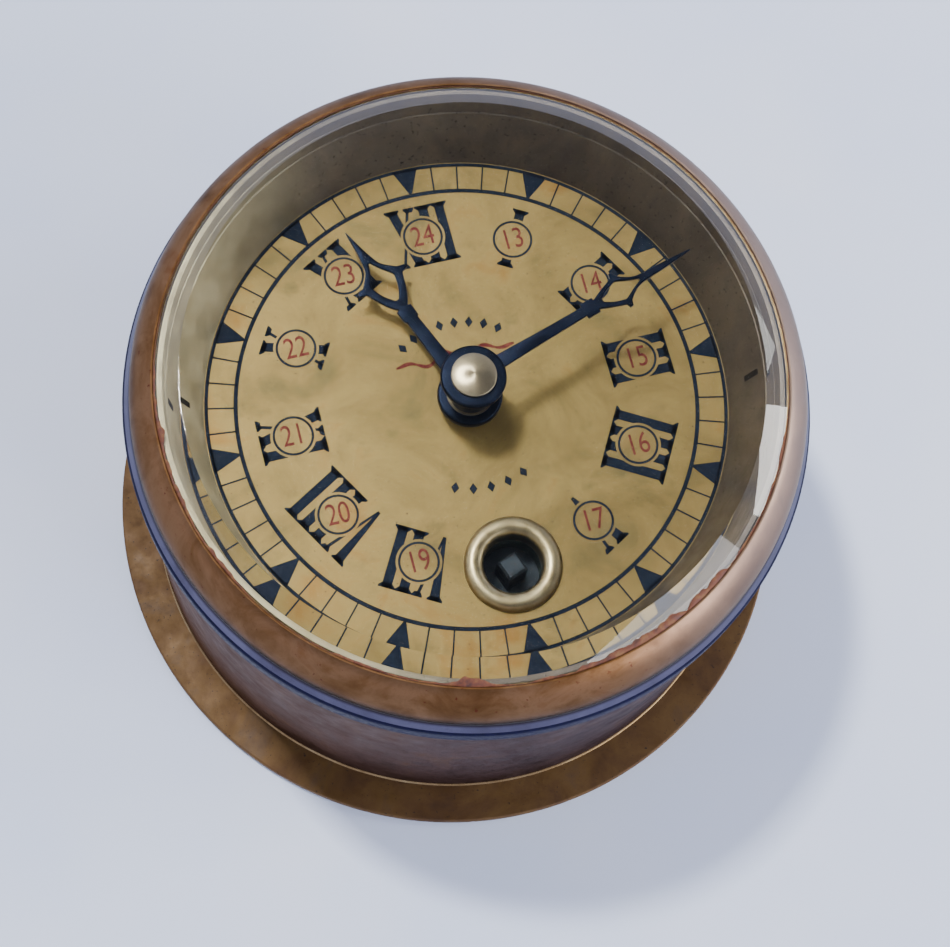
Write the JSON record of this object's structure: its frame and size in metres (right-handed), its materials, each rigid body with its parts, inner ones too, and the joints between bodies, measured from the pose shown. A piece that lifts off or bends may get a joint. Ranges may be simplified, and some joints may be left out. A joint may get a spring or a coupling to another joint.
{
  "type": "ship's deck clock",
  "caption": "Round brass marine clock: flanged drum case, threaded bezel with thick bevelled glass, brass dial with double hour ring, key winding and a lever movement",
  "frame": {"origin": "centre of the flange's back face", "axes": "+Z out through the dial and the glass, +Y towards XII, +X towards III"},
  "size_m": [0.1014, 0.1014, 0.0597],
  "materials": {
    "movement_brass": "satin",
    "case_brass": "patinated",
    "flange_brass": "patinated",
    "cover_brass": "patinated",
    "bezel_brass": "aged",
    "inner_brass": "dulled",
    "glass": "polished",
    "cement": "matt",
    "dial_brass": "brushed",
    "eyelet_brass": "polished",
    "blued_steel": "satin",
    "nut_steel": "turned",
    "steel": "polished",
    "spring_steel": "blued",
    "screw_steel": "satin",
    "ruby": "polished"
  },
  "bodies": {
    "case": {"back_cover": "cover_brass", "back_cover_screws": "screw_steel", "balance_cock": "movement_brass", "balance_jewel": "ruby", "case_body": "case_brass", "case_lugs": "case_brass", "click_screw": "screw_steel", "click_spring": "steel", "cock_screws": "screw_steel", "dial_feet": "movement_brass", "dial_foot_pins": "steel", "dial_plate": "dial_brass", "dial_seat_ring": "inner_brass", "dial_surround": "inner_brass", "escape_cock": "movement_brass", "front_plate": "movement_brass", "hairspring_stud": "steel", "minute_wheel_post": "steel", "mounting_flange": "flange_brass", "movement_posts": "movement_brass", "plate_pillars": "movement_brass", "plate_screws": "screw_steel", "rear_plate": "movement_brass", "winding_eyelet": "eyelet_brass"},
    "bezel": {"bezel": "bezel_brass", "glass": "glass", "glass_retaining_ring": "inner_brass", "glass_cement": "cement"},
    "minute": {"minute_hand": "blued_steel", "hand_nut": "nut_steel", "cannon_pinion": "steel", "centre_arbor": "steel", "centre_wheel": "movement_brass"},
    "hour": {"hour_wheel": "movement_brass", "hour_hand": "blued_steel", "hour_collar": "nut_steel"},
    "minute_wheel": {"minute_wheel": "movement_brass"},
    "intermediate": {"intermediate_arbor": "steel", "intermediate_wheel": "movement_brass"},
    "barrel": {"spring_barrel": "movement_brass", "barrel_cover": "movement_brass", "mainspring": "spring_steel"},
    "winding": {"barrel_arbor": "steel", "ratchet_wheel": "steel"},
    "click": {"click": "steel"},
    "third": {"third_arbor": "steel", "third_wheel": "movement_brass"},
    "fourth": {"fourth_arbor": "steel", "fourth_wheel": "movement_brass"},
    "escape": {"escape_arbor": "steel", "escape_wheel": "steel"},
    "lever": {"pallet_fork": "steel", "pallet_stones": "ruby", "pallet_arbor": "steel"},
    "balance": {"balance_wheel": "movement_brass", "balance_staff": "steel", "roller": "steel", "hairspring_collet": "movement_brass", "hairspring": "spring_steel"},
    "regulator": {"regulator": "steel"}
  },
  "joints": [
    {"name": "bezel_lift", "type": "slide", "parent": "case", "child": "bezel", "axis": [0, 0, 1], "range_m": [0, 0.03]},
    {"name": "minute_turn", "type": "hinge", "parent": "case", "child": "minute", "pos_m": [0, 0, 0.035], "axis": [0, 0, -1], "continuous": true},
    {"name": "hour_turn", "type": "hinge", "parent": "case", "child": "hour", "pos_m": [0, 0, 0.042], "axis": [0, 0, -1], "continuous": true},
    {"name": "minute_wheel_turn", "type": "hinge", "parent": "case", "child": "minute_wheel", "pos_m": [0.009, 0, 0.04], "axis": [0, 0, -1], "continuous": true},
    {"name": "intermediate_turn", "type": "hinge", "parent": "case", "child": "intermediate", "pos_m": [-0.00979, -0.00736, 0.02], "axis": [0, 0, -1], "continuous": true},
    {"name": "barrel_turn", "type": "hinge", "parent": "case", "child": "barrel", "pos_m": [0, -0.023, 0.028], "axis": [0, 0, -1], "continuous": true},
    {"name": "third_turn", "type": "hinge", "parent": "case", "child": "third", "pos_m": [0.0063, 0.01091, 0.029], "axis": [0, 0, -1], "continuous": true},
    {"name": "fourth_turn", "type": "hinge", "parent": "case", "child": "fourth", "pos_m": [-0.00519, 0.01399, 0.024], "axis": [0, 0, -1], "continuous": true},
    {"name": "escape_turn", "type": "hinge", "parent": "case", "child": "escape", "pos_m": [-0.01553, 0.01023, 0.02], "axis": [0, 0, -1], "continuous": true},
    {"name": "winding_turn", "type": "hinge", "parent": "case", "child": "winding", "pos_m": [0, -0.023, 0.038], "axis": [0, 0, -1], "range_deg": [0, 1590]},
    {"name": "click_swing", "type": "hinge", "parent": "case", "child": "click", "pos_m": [0.00883, -0.01979, 0.039], "axis": [0, 0, 1], "range_deg": [-5, 3]},
    {"name": "lever_swing", "type": "hinge", "parent": "case", "child": "lever", "pos_m": [-0.02061, 0.00667, 0.015], "axis": [0, 0, 1], "range_deg": [-5, 5]},
    {"name": "balance_swing", "type": "hinge", "parent": "case", "child": "balance", "pos_m": [-0.02757, 0.0018, 0.012], "axis": [0, 0, 1], "range_deg": [-220, 220], "stiffness_Nm_per_rad": 0.000009},
    {"name": "regulator_turn", "type": "hinge", "parent": "case", "child": "regulator", "pos_m": [-0.02757, 0.0018, 0.007], "axis": [0, 0, 1], "range_deg": [-20, 20]}
  ],
  "couplings": [
    {"joint": "hour_turn", "follows": "minute_turn", "ratio": 0.083333},
    {"joint": "minute_wheel_turn", "follows": "minute_turn", "ratio": -0.33333},
    {"joint": "intermediate_turn", "follows": "minute_turn", "ratio": -0.16667},
    {"joint": "barrel_turn", "follows": "minute_turn", "ratio": 0.023148},
    {"joint": "third_turn", "follows": "minute_turn", "ratio": -8},
    {"joint": "fourth_turn", "follows": "minute_turn", "ratio": 60},
    {"joint": "escape_turn", "follows": "minute_turn", "ratio": -600}
  ]
}
